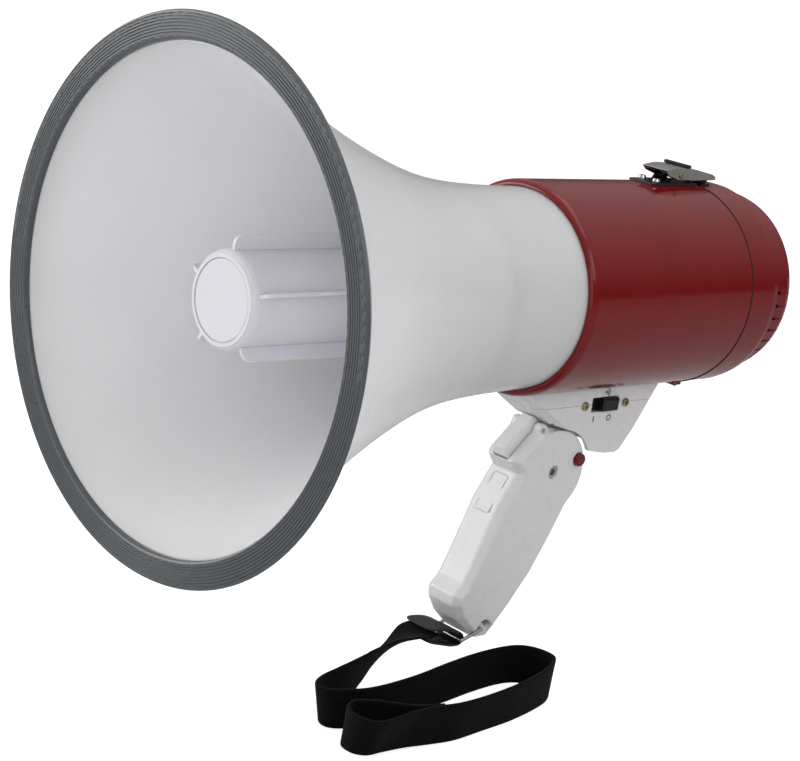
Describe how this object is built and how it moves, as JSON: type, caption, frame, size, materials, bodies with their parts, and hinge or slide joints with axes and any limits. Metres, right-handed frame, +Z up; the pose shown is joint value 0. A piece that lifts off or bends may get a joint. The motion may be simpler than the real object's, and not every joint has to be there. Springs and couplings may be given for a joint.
{
  "type": "handheld megaphone",
  "caption": "Handheld battery megaphone: flared horn with rim trim, re-entrant reflector, cylindrical body, latched rear cap, folding pistol grip with trigger and wrist strap.",
  "frame": {"origin": "middle of the pistol grip, where the hand closes round it", "axes": "+X out of the mouth along the horn axis, +Z up, +Y to the user's left"},
  "size_m": [0.367, 0.23, 0.299],
  "materials": {
    "bell_plastic": "gloss white",
    "case_plastic": "satin white",
    "inner_plastic": "off-white",
    "barrel_plastic": "gloss deep red",
    "button_plastic": "gloss red",
    "trim_rubber": "satin grey",
    "gasket_rubber": "matt black",
    "black_plastic": "matt black",
    "latch_metal": "nickel plated",
    "latch_black": "black lacquer",
    "bright_screw": "bright",
    "brass_screw": "worn brass plating",
    "spring_steel": "bright wire",
    "magnet": "dark ferrite",
    "plated_steel": "zinc plated",
    "coil_copper": "enamelled copper",
    "cell_jacket": "printed sleeve, plain",
    "board": "green laminate",
    "board_parts": "dark moulded parts",
    "webbing": "ribbed weave",
    "tab_leather": "smooth black",
    "snap_metal": "bright"
  },
  "bodies": {
    "housing": {"amplifier_board": "board", "amplifier_parts": "board_parts", "barrel": "barrel_plastic", "battery_cells": "cell_jacket", "battery_contacts": "spring_steel", "battery_tray": "inner_plastic", "bracket_housing": "case_plastic", "bracket_saddle": "case_plastic", "cap_hinge": "bright_screw", "driver_diaphragm": "black_plastic", "driver_magnet": "magnet", "driver_plate": "inner_plastic", "driver_screws": "bright_screw", "driver_top_plate": "plated_steel", "driver_yoke": "plated_steel", "horn_bell": "bell_plastic", "latch_axle": "brass_screw", "latch_base": "latch_black", "latch_screws": "bright_screw", "latch_spring": "spring_steel", "nose_disc": "inner_plastic", "reflector": "inner_plastic", "reflector_fins": "inner_plastic", "reflector_ring": "inner_plastic", "reflector_struts": "inner_plastic", "rim_trim": "trim_rubber", "saddle_screws": "bright_screw", "slide_switch": "black_plastic", "switch_screws": "brass_screw", "throat_tube": "inner_plastic", "voice_coil": "coil_copper"},
    "rear_cap": {"rear_cap": "barrel_plastic", "latch_keeper": "latch_black", "seam_gasket": "gasket_rubber", "mic_grille": "black_plastic", "mic_capsule": "black_plastic", "volume_control": "black_plastic", "contact_board": "board", "contact_springs": "spring_steel"},
    "volume_knob": {"volume_knob": "black_plastic"},
    "latch_lever": {"latch_lever": "latch_metal", "latch_ridge": "gasket_rubber"},
    "switch_knob": {"switch_knob": "black_plastic"},
    "grip": {"grip_left_shell": "case_plastic", "grip_right_shell": "case_plastic", "grip_panel": "case_plastic", "grip_screws": "bright_screw", "pivot_screw": "spring_steel", "trigger_pin": "spring_steel", "talk_switch": "black_plastic"},
    "trigger": {"trigger": "case_plastic"},
    "lock_button": {"lock_button": "button_plastic"},
    "bail": {"bail_wire": "spring_steel", "strap_tab": "tab_leather", "tab_snap": "snap_metal", "strap_webbing": "webbing"}
  },
  "joints": [
    {"name": "handle_fold", "type": "hinge", "parent": "housing", "child": "grip", "pos_m": [-0.02, 0, 0.039], "axis": [0, 1, 0], "range_deg": [0, 95]},
    {"name": "trigger_squeeze", "type": "hinge", "parent": "grip", "child": "trigger", "pos_m": [-0.009, 0, 0.0606], "axis": [0, 1, 0], "range_deg": [0, 6], "stiffness_Nm_per_rad": 0.4, "springref_deg": -14.32},
    {"name": "fold_lock_press", "type": "slide", "parent": "grip", "child": "lock_button", "axis": [0, -1, 0], "range_m": [0, 0.0018], "stiffness_N_per_m": 400, "springref_m": -0.003},
    {"name": "slide_switch", "type": "slide", "parent": "housing", "child": "switch_knob", "axis": [1, 0, 0], "range_m": [0, 0.005]},
    {"name": "latch_lift", "type": "hinge", "parent": "housing", "child": "latch_lever", "pos_m": [-0.0798, 0, 0.1857], "axis": [0, 1, 0], "range_deg": [0, 12], "stiffness_Nm_per_rad": 0.3, "springref_deg": -17.19},
    {"name": "cap_open", "type": "hinge", "parent": "housing", "child": "rear_cap", "pos_m": [-0.097, 0, 0.0807], "axis": [0, -1, 0], "range_deg": [0, 95]},
    {"name": "volume_turn", "type": "hinge", "parent": "rear_cap", "child": "volume_knob", "pos_m": [-0.1425, 0, 0.11], "axis": [-1, 0, 0], "range_deg": [0, 270]},
    {"name": "strap_swing", "type": "hinge", "parent": "grip", "child": "bail", "pos_m": [0.0107, 0, -0.039], "axis": [0, 1, 0], "range_deg": [-8, 70]}
  ]
}
